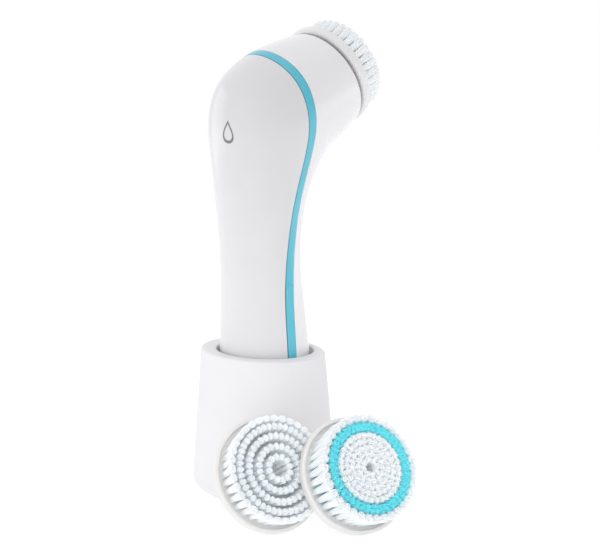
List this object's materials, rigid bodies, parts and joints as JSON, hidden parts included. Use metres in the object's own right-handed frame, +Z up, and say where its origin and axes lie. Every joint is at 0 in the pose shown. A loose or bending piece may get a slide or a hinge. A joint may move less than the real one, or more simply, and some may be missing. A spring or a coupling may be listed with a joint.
{
  "type": "facial cleansing brush",
  "caption": "Rechargeable facial cleansing brush with a bent handle in an oval charging stand, a motor-driven round bristle head, and spare heads beside the stand.",
  "frame": {"origin": "middle of the stand's underside, on the non-slip pad's flat lower face", "axes": "+Z up; the handle and the stand are symmetric about X = 0; the mounted brush head faces -Y and upwards, and the rear cover faces +Y"},
  "size_m": [0.1254, 0.115, 0.2102],
  "materials": {
    "white_shell": "glossy moulded ABS",
    "teal_trim": "satin coloured ABS",
    "white_base": "fine satin, slightly warm white",
    "bristle_white": "soft nylon filaments",
    "bristle_teal": "soft dyed nylon filaments",
    "grey_plastic": "moulded, fine texture",
    "dark_rubber": "soft silicone",
    "circuit_board": "solder mask",
    "black_plastic": "moulded",
    "copper_winding": "enamelled copper wire",
    "ferrite": "sintered",
    "steel": "plated",
    "brass": "turned",
    "gear_nylon": "moulded nylon",
    "battery_wrap": "shrink sleeve",
    "clear_lens": "clear moulded",
    "red_wire": "wire insulation",
    "black_wire": "wire insulation"
  },
  "bodies": {
    "stand": {"stand_shell": "white_shell", "stand_base_plate": "grey_plastic", "non_slip_pad": "dark_rubber", "stand_screw_1": "steel", "stand_screw_2": "steel", "stand_screw_3": "steel", "stand_screw_4": "steel", "charging_coil": "copper_winding", "coil_ferrite": "ferrite", "stand_circuit_board": "circuit_board", "charge_controller": "black_plastic", "power_inlet": "black_plastic"},
    "handle": {"rear_cover": "white_shell", "front_shell": "white_shell", "trim_band": "teal_trim", "handle_end_cap": "white_base", "receiver_coil": "copper_winding", "receiver_ferrite": "ferrite", "battery_cell": "battery_wrap", "inner_frame": "grey_plastic", "main_board": "circuit_board", "tact_switch": "black_plastic", "motor_driver_chip": "black_plastic", "status_led": "clear_lens", "light_pipe": "clear_lens", "button_membrane": "dark_rubber", "motor_lead_red": "red_wire", "motor_lead_black": "black_wire", "neck_plate": "white_base", "shaft_seal": "dark_rubber", "gearbox_base": "grey_plastic", "gearbox_cover": "grey_plastic", "gearbox_screw_1": "steel", "gearbox_screw_2": "steel", "spindle_bush": "brass", "idler_axle": "steel", "motor_can": "steel", "motor_end_cap": "black_plastic"},
    "button": {"power_button": "teal_trim"},
    "rotor": {"motor_armature": "copper_winding", "motor_shaft": "steel", "motor_pinion": "brass"},
    "idler": {"idler_gear": "gear_nylon"},
    "spindle": {"output_gear": "gear_nylon", "spindle": "steel"},
    "brush_head": {"brush_base": "white_base", "brush_outer_tufts": "bristle_white", "brush_inner_tufts": "bristle_white"},
    "spare_head_a": {"spare_a_base": "white_base", "spare_a_tufts_1": "bristle_white", "spare_a_tufts_2": "bristle_white", "spare_a_tufts_3": "bristle_white", "spare_a_tufts_4": "bristle_white", "spare_a_tufts_outer": "bristle_white"},
    "spare_head_b": {"spare_b_base": "white_base", "spare_b_tufts_centre": "bristle_white", "spare_b_tufts_teal": "bristle_teal", "spare_b_tufts_outer": "bristle_white"}
  },
  "joints": [
    {"name": "handle_lift", "type": "slide", "parent": "stand", "child": "handle", "axis": [0, 0, 1], "range_m": [0, 0.06]},
    {"name": "button_press", "type": "slide", "parent": "handle", "child": "button", "axis": [0, 1, 0], "range_m": [0, 0.0008], "stiffness_N_per_m": 1500},
    {"name": "brush_spin", "type": "hinge", "parent": "handle", "child": "spindle", "pos_m": [0, -0.0358, 0.1826], "axis": [0, -0.8545, 0.5195], "continuous": true},
    {"name": "idler_spin", "type": "hinge", "parent": "handle", "child": "idler", "pos_m": [0.01, -0.0358, 0.1826], "axis": [0, -0.8545, 0.5195], "continuous": true},
    {"name": "motor_spin", "type": "hinge", "parent": "handle", "child": "rotor", "pos_m": [0, -0.0358, 0.1826], "axis": [0, -0.8545, 0.5195], "continuous": true},
    {"name": "head_pull_off", "type": "slide", "parent": "spindle", "child": "brush_head", "axis": [0, -0.8545, 0.5195], "range_m": [0, 0.02]},
    {"name": "spare_a_slide", "type": "slide", "parent": "stand", "child": "spare_head_a", "axis": [0.1564, 0.9877, 0], "range_m": [0, 0.06]},
    {"name": "spare_b_slide", "type": "slide", "parent": "stand", "child": "spare_head_b", "axis": [-0.9836, 0.1805, 0], "range_m": [0, 0.06]}
  ],
  "couplings": [
    {"joint": "idler_spin", "follows": "motor_spin", "ratio": -0.33333},
    {"joint": "brush_spin", "follows": "motor_spin", "ratio": 0.11111}
  ]
}
